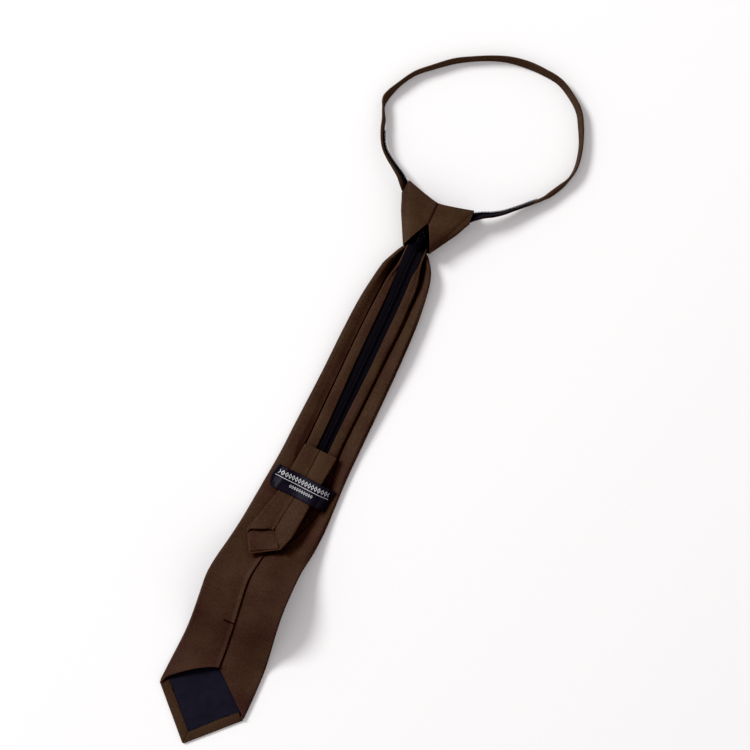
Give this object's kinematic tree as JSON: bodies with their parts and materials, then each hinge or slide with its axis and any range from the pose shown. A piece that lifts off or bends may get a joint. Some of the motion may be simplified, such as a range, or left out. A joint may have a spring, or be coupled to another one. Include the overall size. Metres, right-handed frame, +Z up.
{
  "type": "zipper tie",
  "caption": "Ready-tied necktie on a zippered neck loop, lying on its front: hollow knot with a back opening, folded blade, zipper placket, tail held by a label",
  "frame": {"origin": "on the ground under the middle of the knot, which lies on its front", "axes": "+Z up, out of the back of the tie; +Y from the knot to the neck loop, with the blade along -Y; +X to the right seen from above"},
  "size_m": [0.1736, 0.6458, 0.0293],
  "materials": {
    "brown_cloth": "matte fine twill",
    "navy_satin": "satin",
    "black_satin": "woven satin",
    "black_tape": "woven tape",
    "black_coil": "nylon coil",
    "black_metal": "black lacquer"
  },
  "bodies": {
    "root": {"blade": "brown_cloth", "blade_tipping": "navy_satin", "knot": "brown_cloth", "zip_placket": "brown_cloth", "zip_tape_right": "black_tape", "zip_tape_left": "black_tape", "zip_coil_right": "black_coil", "zip_coil_left": "black_coil", "zip_slider": "black_metal", "zip_pull": "black_metal", "tail": "brown_cloth", "label_keeper": "black_satin", "neck_band": "brown_cloth"}
  },
  "joints": []
}
